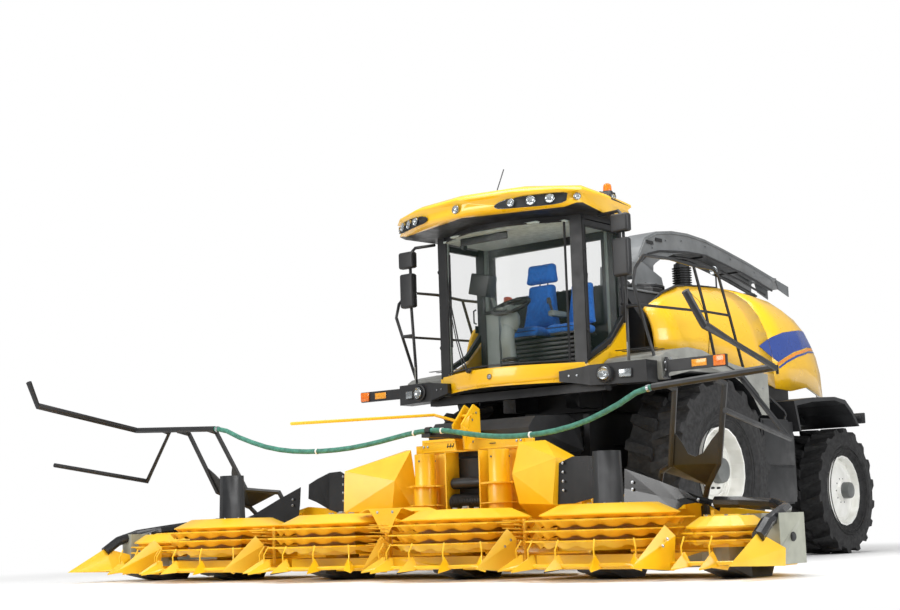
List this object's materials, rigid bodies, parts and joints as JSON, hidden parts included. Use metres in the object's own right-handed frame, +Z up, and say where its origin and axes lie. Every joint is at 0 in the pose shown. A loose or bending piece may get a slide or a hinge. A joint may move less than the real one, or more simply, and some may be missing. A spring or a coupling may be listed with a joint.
{
  "type": "self-propelled forage harvester",
  "caption": "Self-propelled forage harvester on rubber tyres with a visor-roofed cab, a swivelling discharge spout and a folding row-independent maize header with toothed crop drums.",
  "frame": {"origin": "on the floor, under the middle of the whole machine and on the front axle's line", "axes": "+Z up, +Y to the machine's rear, +X to the machine's left"},
  "size_m": [7.8336, 8.7998, 4.0824],
  "materials": {
    "yellow_enamel": "gloss enamel",
    "black_coat": "satin powder coat",
    "grey_sheet": "satin enamel",
    "white_enamel": "gloss enamel",
    "tyre_rubber": "moulded rubber",
    "axle_paint": "satin enamel",
    "engine_iron": "painted casting",
    "chromed_rod": "hard chrome",
    "tinted_glass": "tinted glazing",
    "seat_fabric": "woven upholstery",
    "interior_plastic": "moulded",
    "hose_rubber": "ribbed hose"
  },
  "bodies": {
    "chassis": {"frame": "black_coat", "engine": "engine_iron", "front_axle": "axle_paint", "rear_axle": "axle_paint", "inner_body": "black_coat", "side_panel_left": "yellow_enamel", "side_panel_right": "yellow_enamel", "rear_grille": "black_coat", "rear_fenders": "black_coat", "cab_floor": "yellow_enamel", "cab_frame": "black_coat", "cab_roof": "yellow_enamel", "windscreen": "tinted_glass", "seats": "seat_fabric", "console": "interior_plastic", "platform_left": "black_coat", "platform_right": "black_coat", "light_bar": "black_coat"},
    "front_wheel_left": {"front_tyre_left": "tyre_rubber", "front_rim_left": "white_enamel"},
    "front_wheel_right": {"front_tyre_right": "tyre_rubber", "front_rim_right": "white_enamel"},
    "steered_left": {"knuckle_left": "axle_paint"},
    "steered_right": {"knuckle_right": "axle_paint"},
    "rear_wheel_left": {"rear_tyre_left": "tyre_rubber", "rear_rim_left": "white_enamel"},
    "rear_wheel_right": {"rear_tyre_right": "tyre_rubber", "rear_rim_right": "white_enamel"},
    "track_rod": {"track_rod": "axle_paint"},
    "rear_door_left": {"rear_door_left": "yellow_enamel"},
    "rear_door_right": {"rear_door_right": "yellow_enamel"},
    "cab_door_left": {"door_left": "black_coat"},
    "cab_door_right": {"door_right": "black_coat"},
    "indicator_left": {"indicator_left": "black_coat"},
    "indicator_right": {"indicator_right": "black_coat"},
    "turret": {"turret": "grey_sheet"},
    "spout": {"spout": "grey_sheet"},
    "spout_flap": {"spout_flap": "grey_sheet"},
    "header": {"feeder_house": "black_coat", "header_frame": "yellow_enamel", "hose": "hose_rubber"},
    "lift_barrels": {"lift_barrels": "black_coat"},
    "lift_rods": {"lift_rods": "chromed_rod"},
    "wing_left": {"header_wing_left": "yellow_enamel", "crop_guide_left": "black_coat"},
    "wing_right": {"header_wing_right": "yellow_enamel", "crop_guide_right": "black_coat"},
    "drum_inner_left": {"drum_inner_left": "yellow_enamel"},
    "drum_inner_right": {"drum_inner_right": "yellow_enamel"},
    "drum_outer_left": {"drum_outer_left": "yellow_enamel"},
    "drum_outer_right": {"drum_outer_right": "yellow_enamel"},
    "drum_end_left": {"drum_end_left": "yellow_enamel"},
    "drum_end_right": {"drum_end_right": "yellow_enamel"},
    "feed_drum_left": {"feed_drum_left": "yellow_enamel"},
    "feed_drum_right": {"feed_drum_right": "yellow_enamel"}
  },
  "joints": [
    {"name": "front_wheel_left_spin", "type": "hinge", "parent": "chassis", "child": "front_wheel_left", "pos_m": [1.29, 0, 0.922], "axis": [1, 0, 0], "continuous": true},
    {"name": "front_wheel_right_spin", "type": "hinge", "parent": "chassis", "child": "front_wheel_right", "pos_m": [-1.29, 0, 0.922], "axis": [1, 0, 0], "continuous": true},
    {"name": "steer_left", "type": "hinge", "parent": "chassis", "child": "steered_left", "pos_m": [0.74, 3.163, 0.722], "axis": [0, 0, 1], "range_deg": [-40, 40]},
    {"name": "steer_right", "type": "hinge", "parent": "chassis", "child": "steered_right", "pos_m": [-0.74, 3.163, 0.722], "axis": [0, 0, 1], "range_deg": [-40, 40]},
    {"name": "track_rod_shift", "type": "slide", "parent": "chassis", "child": "track_rod", "axis": [1, 0, 0], "range_m": [-0.165, 0.165]},
    {"name": "rear_wheel_left_spin", "type": "hinge", "parent": "steered_left", "child": "rear_wheel_left", "pos_m": [1.12, 3.163, 0.722], "axis": [1, 0, 0], "continuous": true},
    {"name": "rear_wheel_right_spin", "type": "hinge", "parent": "steered_right", "child": "rear_wheel_right", "pos_m": [-1.12, 3.163, 0.722], "axis": [1, 0, 0], "continuous": true},
    {"name": "rear_door_left_swing", "type": "hinge", "parent": "chassis", "child": "rear_door_left", "pos_m": [1.23, 1.853, 2.3], "axis": [0, 0, -1], "range_deg": [0, 90]},
    {"name": "rear_door_right_swing", "type": "hinge", "parent": "chassis", "child": "rear_door_right", "pos_m": [-1.23, 1.853, 2.3], "axis": [0, 0, 1], "range_deg": [0, 90]},
    {"name": "cab_door_left_swing", "type": "hinge", "parent": "chassis", "child": "cab_door_left", "pos_m": [0.925, -1.354, 2.7], "axis": [0, 0, -1], "range_deg": [0, 50]},
    {"name": "cab_door_right_swing", "type": "hinge", "parent": "chassis", "child": "cab_door_right", "pos_m": [-0.925, -1.354, 2.7], "axis": [0, 0, 1], "range_deg": [0, 50]},
    {"name": "indicator_left_fold", "type": "hinge", "parent": "chassis", "child": "indicator_left", "pos_m": [1.632, -1.08, 1.89], "axis": [0, 0, 1], "range_deg": [0, 85]},
    {"name": "indicator_right_fold", "type": "hinge", "parent": "chassis", "child": "indicator_right", "pos_m": [-1.632, -1.08, 1.89], "axis": [0, 0, -1], "range_deg": [0, 85]},
    {"name": "turret_swivel", "type": "hinge", "parent": "chassis", "child": "turret", "pos_m": [0, 0.95, 3], "axis": [0, 0, 1], "range_deg": [-100, 100]},
    {"name": "spout_lift", "type": "hinge", "parent": "turret", "child": "spout", "pos_m": [0, 0.72, 3.16], "axis": [1, 0, 0], "range_deg": [0, 40]},
    {"name": "spout_flap_tilt", "type": "hinge", "parent": "spout", "child": "spout_flap", "pos_m": [0, 4.03, 3.44], "axis": [-1, 0, 0], "range_deg": [0, 60]},
    {"name": "header_lift", "type": "hinge", "parent": "chassis", "child": "header", "pos_m": [0, -0.66, 1.42], "axis": [-1, 0, 0], "range_deg": [0, 15]},
    {"name": "lift_barrel_tilt", "type": "hinge", "parent": "chassis", "child": "lift_barrels", "pos_m": [0, -0.3, 0.52], "axis": [-1, 0, 0], "range_deg": [0, 9.6]},
    {"name": "lift_rod_stroke", "type": "slide", "parent": "lift_barrels", "child": "lift_rods", "axis": [0, -1, 0], "range_m": [0, 0.23]},
    {"name": "wing_left_fold", "type": "hinge", "parent": "header", "child": "wing_left", "pos_m": [1.5, -2.2, 0.63], "axis": [0, -1, 0], "range_deg": [0, 90], "deforming": ["hose"]},
    {"name": "wing_right_fold", "type": "hinge", "parent": "header", "child": "wing_right", "pos_m": [-1.5, -2.2, 0.63], "axis": [0, 1, 0], "range_deg": [0, 90]},
    {"name": "drum_inner_left_spin", "type": "hinge", "parent": "header", "child": "drum_inner_left", "pos_m": [0.75, -3.086, 0.235], "axis": [0, 0, 1], "continuous": true},
    {"name": "drum_inner_right_spin", "type": "hinge", "parent": "header", "child": "drum_inner_right", "pos_m": [-0.75, -3.086, 0.235], "axis": [0, 0, 1], "continuous": true},
    {"name": "drum_outer_left_spin", "type": "hinge", "parent": "wing_left", "child": "drum_outer_left", "pos_m": [2.25, -3.086, 0.235], "axis": [0, 0, 1], "continuous": true},
    {"name": "drum_outer_right_spin", "type": "hinge", "parent": "wing_right", "child": "drum_outer_right", "pos_m": [-2.25, -3.086, 0.235], "axis": [0, 0, 1], "continuous": true},
    {"name": "drum_end_left_spin", "type": "hinge", "parent": "wing_left", "child": "drum_end_left", "pos_m": [3.31, -3.05, 0.235], "axis": [0, 0, 1], "continuous": true},
    {"name": "drum_end_right_spin", "type": "hinge", "parent": "wing_right", "child": "drum_end_right", "pos_m": [-3.31, -3.05, 0.235], "axis": [0, 0, 1], "continuous": true},
    {"name": "feed_drum_left_spin", "type": "hinge", "parent": "header", "child": "feed_drum_left", "pos_m": [0.455, -2.21, 0.5], "axis": [0, 0, 1], "continuous": true},
    {"name": "feed_drum_right_spin", "type": "hinge", "parent": "header", "child": "feed_drum_right", "pos_m": [-0.455, -2.21, 0.5], "axis": [0, 0, 1], "continuous": true}
  ],
  "couplings": [
    {"joint": "steer_right", "follows": "steer_left", "ratio": 1},
    {"joint": "track_rod_shift", "follows": "steer_left", "m_per_rad": -0.23},
    {"joint": "wing_right_fold", "follows": "wing_left_fold", "ratio": 1},
    {"joint": "lift_barrel_tilt", "follows": "header_lift", "ratio": 0.637},
    {"joint": "lift_rod_stroke", "follows": "header_lift", "m_per_rad": 0.8654}
  ]
}
